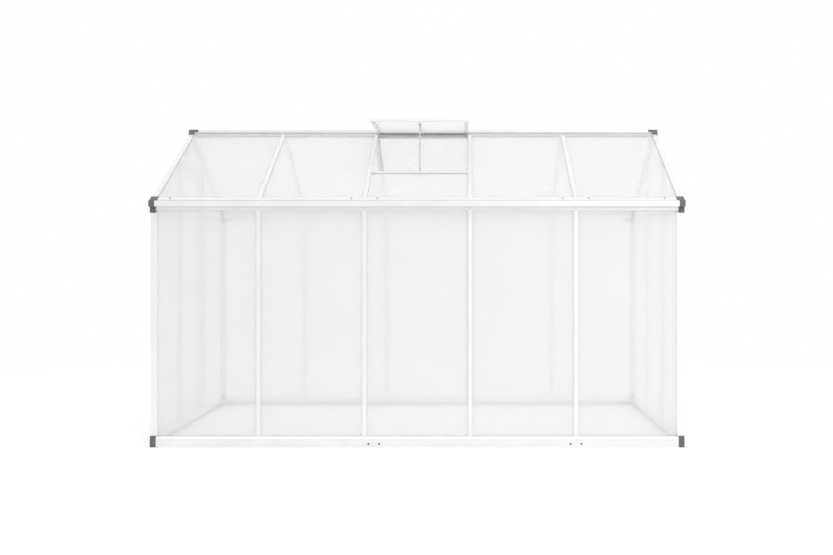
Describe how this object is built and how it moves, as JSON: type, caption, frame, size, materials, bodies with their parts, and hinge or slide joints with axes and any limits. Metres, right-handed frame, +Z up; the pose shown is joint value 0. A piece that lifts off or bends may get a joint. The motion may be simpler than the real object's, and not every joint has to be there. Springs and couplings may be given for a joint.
{
  "type": "greenhouse",
  "caption": "Walk-in apex greenhouse with an aluminium frame, twin-wall sheets, gutters, a propped roof vent and a sliding gable door.",
  "frame": {"origin": "on the ground, at the middle of the base frame", "axes": "+X along the length towards the closed gable, +Y towards the side without the vent, +Z up"},
  "size_m": [3.138, 1.904, 1.95],
  "materials": {
    "aluminium": "satin",
    "dark_plastic": "matte",
    "dark_steel": "satin",
    "twin_wall_sheet": "satin"
  },
  "bodies": {
    "house": {"base_rail_front_1": "aluminium", "base_rail_front_2": "aluminium", "base_rail_front_3": "aluminium", "base_rails_rear": "aluminium", "base_rail_back_end": "aluminium", "base_rail_door_end": "aluminium", "base_corner_blocks": "dark_plastic", "base_splice_plates": "aluminium", "corner_post_front_left": "aluminium", "corner_post_front_right": "aluminium", "corner_post_rear_left": "aluminium", "corner_post_rear_right": "aluminium", "front_wall_bars": "aluminium", "rear_wall_bars": "aluminium", "back_gable_bars": "aluminium", "door_jambs": "aluminium", "gable_tie_bars": "aluminium", "door_header": "aluminium", "front_gutter_1": "aluminium", "front_gutter_2": "aluminium", "front_gutter_3": "aluminium", "rear_gutters": "aluminium", "gutter_splices": "aluminium", "roof_edge_strips": "aluminium", "edge_strip_screws": "dark_steel", "eave_corner_blocks": "dark_plastic", "gutter_end_caps": "dark_plastic", "ridge_bar_1": "aluminium", "ridge_bar_2": "aluminium", "ridge_bar_3": "aluminium", "ridge_end_caps": "dark_plastic", "back_gable_rafters": "aluminium", "door_gable_rafters": "aluminium", "front_roof_bars": "aluminium", "rear_roof_bars": "aluminium", "front_wall_panel_1": "twin_wall_sheet", "front_wall_panel_2": "twin_wall_sheet", "front_wall_panel_3": "twin_wall_sheet", "front_wall_panel_4": "twin_wall_sheet", "front_wall_panel_5": "twin_wall_sheet", "rear_wall_panels": "twin_wall_sheet", "front_roof_panels": "twin_wall_sheet", "rear_roof_panels": "twin_wall_sheet", "back_gable_panels": "twin_wall_sheet", "door_gable_panels": "twin_wall_sheet", "vent_sill": "aluminium", "stay_peg": "dark_steel", "door_track": "aluminium", "door_floor_guide": "aluminium", "frame_bolts": "dark_steel"},
    "vent": {"vent_frame": "aluminium", "vent_centre_bar": "dark_steel", "vent_panel": "twin_wall_sheet"},
    "stay": {"vent_stay": "dark_steel"},
    "door": {"door_frame": "aluminium", "door_panels": "twin_wall_sheet", "door_hangers": "dark_steel", "door_handle": "dark_plastic"},
    "roller_front": {"door_roller_front": "dark_plastic"},
    "roller_rear": {"door_roller_rear": "dark_plastic"}
  },
  "joints": [
    {"name": "vent_open", "type": "hinge", "parent": "house", "child": "vent", "pos_m": [0, -0.016, 1.92848], "axis": [1, 0, 0], "range_deg": [0, 28.2]},
    {"name": "stay_swing", "type": "hinge", "parent": "vent", "child": "stay", "pos_m": [0, -0.54534, 1.91348], "axis": [1, 0, 0], "range_deg": [-28.3, 0]},
    {"name": "door_slide", "type": "slide", "parent": "house", "child": "door", "axis": [0, 1, 0], "range_m": [0, 0.6]},
    {"name": "roller_front_spin", "type": "hinge", "parent": "door", "child": "roller_front", "pos_m": [-1.5585, -0.25633, 1.6853], "axis": [1, 0, 0], "range_deg": [-3825, 5]},
    {"name": "roller_rear_spin", "type": "hinge", "parent": "door", "child": "roller_rear", "pos_m": [-1.5585, 0.25633, 1.6853], "axis": [1, 0, 0], "range_deg": [-3825, 5]}
  ],
  "couplings": [
    {"joint": "stay_swing", "follows": "vent_open", "ratio": -1},
    {"joint": "roller_front_spin", "follows": "door_slide", "rad_per_m": -111.11},
    {"joint": "roller_rear_spin", "follows": "door_slide", "rad_per_m": -111.11}
  ]
}
